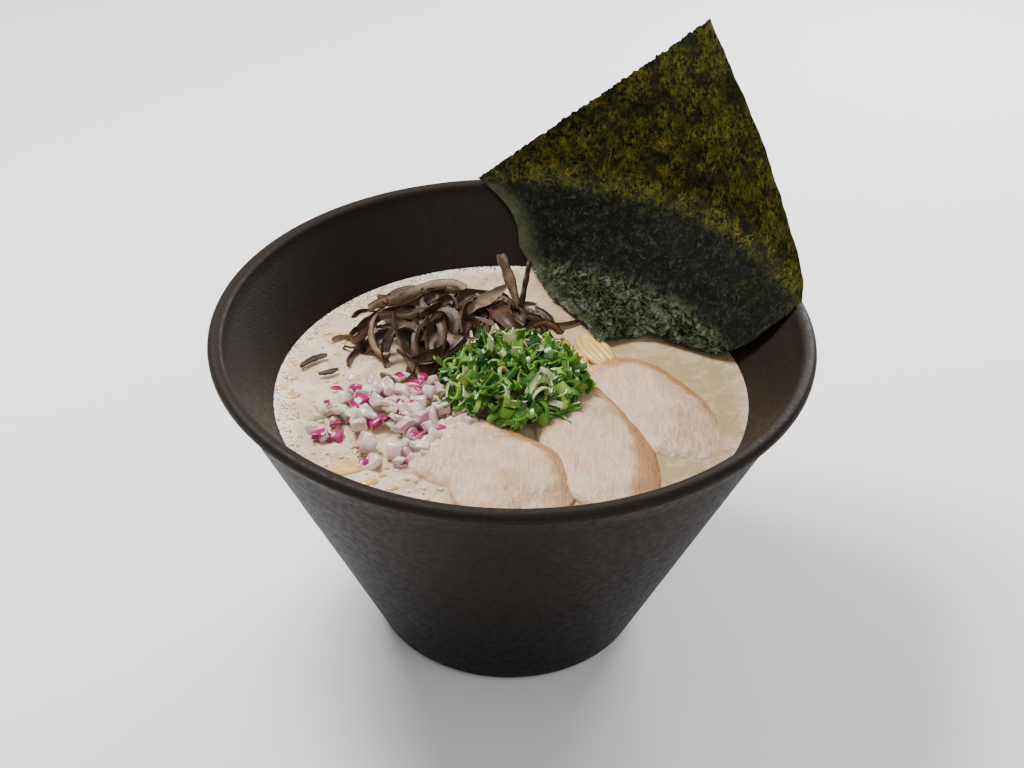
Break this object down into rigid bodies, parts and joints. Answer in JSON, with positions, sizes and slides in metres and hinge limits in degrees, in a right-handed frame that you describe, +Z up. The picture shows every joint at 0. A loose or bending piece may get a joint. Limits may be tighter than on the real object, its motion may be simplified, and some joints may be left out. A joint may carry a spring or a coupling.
{
  "type": "bowl of ramen",
  "caption": "Bowl of creamy broth ramen with sliced chicken, wood ear, scallion, red onion and a sheet of nori.",
  "frame": {"origin": "middle of the bowl's flat underside", "axes": "+Z up, -Y towards the side the slices of chicken lie on, +X towards the right, where the nori's lower corner rests"},
  "size_m": [0.2, 0.2021, 0.1902],
  "materials": {
    "stoneware": "matt speckled near-black glaze",
    "broth": "creamy liquid with thin foam",
    "chicken": "moist poached meat",
    "seaweed": "dry sheet, wet at its lower end",
    "noodle": "wet",
    "wood_ear": "moist, velvety inner face",
    "scallion": "fresh, slightly glossy",
    "onion": "wet, translucent"
  },
  "bodies": {
    "root": {"bowl": "stoneware", "broth": "broth", "chicken_slice_1": "chicken", "chicken_slice_2": "chicken", "chicken_slice_3": "chicken", "chicken_slice_4": "chicken", "nori_sheet": "seaweed", "noodle_bundle": "noodle", "wood_ear_heap": "wood_ear", "wood_ear_strip_1": "wood_ear", "wood_ear_strip_2": "wood_ear", "wood_ear_strip_3": "wood_ear", "wood_ear_strip_4": "wood_ear", "wood_ear_strip_5": "wood_ear", "scallion_heap": "scallion", "red_onion_heap": "onion"}
  },
  "joints": []
}
